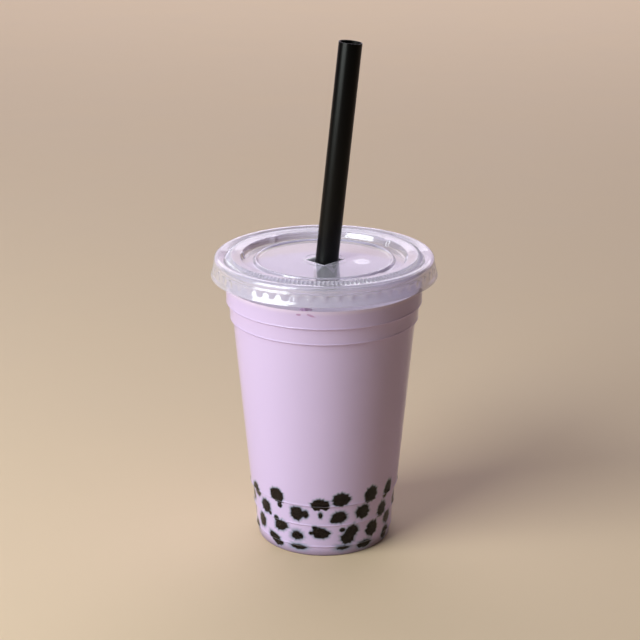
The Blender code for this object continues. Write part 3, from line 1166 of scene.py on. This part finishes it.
class BUBBLETEA_OT_drink(bpy.types.Operator):
    """Build the milk tea that fills the cup up to its level, and the small bubbles under its edge."""

    bl_idname = "bubble_tea.drink"
    bl_label = "Milk tea"

    def execute(self, context):
        tea = context.scene.bubble_tea
        settings = tea.drink
        wall = tea.cup.wall / MM
        bm = bmesh.new()
        spin_profile(bm, drink_line(wall), settings.columns, closed=False)
        points = np.array([vert.co for vert in bm.verts]) / MM
        shows = film_over_pearls(points, all_pearls(tea.pearls), settings.film / MM)
        layer = bm.verts.layers.float.new("film")
        for vert, value in zip(bm.verts, shows):
            vert[layer] = float(value)
        add_piece("tea_body", bm, tea_finish(settings, tea.pearls.colour), "milk_tea")
        dice = random.Random(BUBBLE_SEED)
        bubbles = [Pearl(dice, *place, 0, 0.0, max(place[2:4])) for place in BUBBLES]
        finish = bubble_finish(settings)
        add_piece("tea_bubbles", pressed_on_wall(bubbles, wall), finish, "milk_tea")
        return {"FINISHED"}


def soft_lamp(name, target, azimuth, elevation, distance, size, power, colour):
    """A softbox that faces a target: azimuth in degrees to the right of the front."""
    data = bpy.data.lights.new(name, "AREA")
    data.shape = "RECTANGLE"
    data.size, data.size_y = size
    data.energy = power
    data.color = colour
    lamp = bpy.data.objects.new(name, data)
    a, e = math.radians(azimuth), math.radians(elevation)
    way = Vector((math.sin(a) * math.cos(e), -math.cos(a) * math.cos(e), math.sin(e)))
    lamp.location = target + way * distance
    lamp.rotation_euler = way.to_track_quat("Z", "Y").to_euler()
    bpy.context.scene.collection.objects.link(lamp)


def studio_world(settings):
    """A dim surround in front of the cup, a little light from above and a bright wall low behind it."""
    world = bpy.data.worlds.new("studio")
    bpy.context.scene.world = world
    world.use_nodes = True
    tree = world.node_tree
    direction = split_coordinates(tree, "Generated")
    above = smooth_share(tree, direction["Z"], *ABOVE)
    colour = colour_between(tree, above, settings.dim_surround, settings.high_surround)
    behind = tree.nodes.new("ShaderNodeMath")
    behind.operation = "MULTIPLY"
    tree.links.new(smooth_share(tree, direction["Y"], *BEHIND), behind.inputs[0])
    tree.links.new(smooth_share(tree, direction["Z"], *LOW_BEHIND), behind.inputs[1])
    colour = colour_between(tree, behind.outputs["Value"], colour, settings.bright_surround)
    tree.links.new(colour, tree.nodes["Background"].inputs["Color"])


def lay_floor(settings):
    """The pale floor that the cup stands on."""
    bm = bmesh.new()
    bmesh.ops.create_grid(bm, x_segments=8, y_segments=8, size=FLOOR_HALF)
    mesh = bpy.data.meshes.new("floor")
    bm.to_mesh(mesh)
    bm.free()
    mesh.materials.append(floor_finish(settings))
    floor = bpy.data.objects.new("floor", mesh)
    bpy.context.scene.collection.objects.link(floor)


def set_camera(settings):
    """The camera in front of the cup, looking down on it."""
    camera = bpy.data.cameras.new("camera")
    camera.lens = settings.lens
    camera.sensor_width = SENSOR_WIDTH
    camera.clip_start = 0.01
    eye = bpy.data.objects.new("camera", camera)
    eye.location = (CAMERA_SIDE, -settings.camera_distance, settings.camera_height)
    eye.rotation_euler = (math.pi / 2 - settings.camera_pitch, 0, 0)
    bpy.context.scene.collection.objects.link(eye)
    bpy.context.scene.camera = eye


class BUBBLETEA_OT_stage(bpy.types.Operator):
    """Lay the pale floor and set up the soft lamps, the surround and the camera."""

    bl_idname = "bubble_tea.stage"
    bl_label = "Stage"

    def execute(self, context):
        settings = context.scene.bubble_tea.stage
        lay_floor(settings)
        soft_lamp(
            "key",
            target=Vector((0, 0, 0.1)),
            azimuth=-55,
            elevation=27,
            distance=1.1,
            size=(0.8, 0.8),
            power=settings.key_power,
            colour=(0.93, 1.0, 0.96),
        )
        soft_lamp(
            "top",
            target=Vector((0, 2.2, 0)),
            azimuth=180,
            elevation=84,
            distance=1.5,
            size=(4.0, 2.5),
            power=settings.top_power,
            colour=(0.97, 0.97, 1.0),
        )
        studio_world(settings)
        set_camera(settings)
        context.scene.view_settings.view_transform = "Standard"
        context.scene.cycles.transparent_max_bounces = 24
        return {"FINISHED"}


OPERATORS = (
    BUBBLETEA_OT_cup,
    BUBBLETEA_OT_lid,
    BUBBLETEA_OT_straw,
    BUBBLETEA_OT_drink,
    BUBBLETEA_OT_pearls,
    BUBBLETEA_OT_stage,
)


class BUBBLETEA_PT_panel(bpy.types.Panel):
    """The pieces of the bubble tea and their settings."""

    bl_idname = "BUBBLETEA_PT_panel"
    bl_label = "Bubble tea"
    bl_space_type = "VIEW_3D"
    bl_region_type = "UI"
    bl_category = "Bubble tea"

    def draw(self, context):
        settings = context.scene.bubble_tea
        for operator, name in zip(OPERATORS, ("cup", "lid", "straw", "drink", "pearls", "stage")):
            box = self.layout.box()
            box.operator(operator.bl_idname)
            group = getattr(settings, name)
            for key in group.bl_rna.properties.keys():
                if key not in ("rna_type", "name"):
                    box.prop(group, key)


CLASSES = (
    CupSettings,
    LidSettings,
    StrawSettings,
    DrinkSettings,
    PearlSettings,
    StageSettings,
    BubbleTeaSettings,
    *OPERATORS,
    BUBBLETEA_PT_panel,
)


def register():
    for cls in CLASSES:
        bpy.utils.register_class(cls)
    bpy.types.Scene.bubble_tea = PointerProperty(type=BubbleTeaSettings)


def unregister():
    del bpy.types.Scene.bubble_tea
    for cls in reversed(CLASSES):
        bpy.utils.unregister_class(cls)


def main():
    register()
    for operator in OPERATORS:
        group, action = operator.bl_idname.split(".")
        getattr(getattr(bpy.ops, group), action)()


if __name__ == "__main__":
    main()
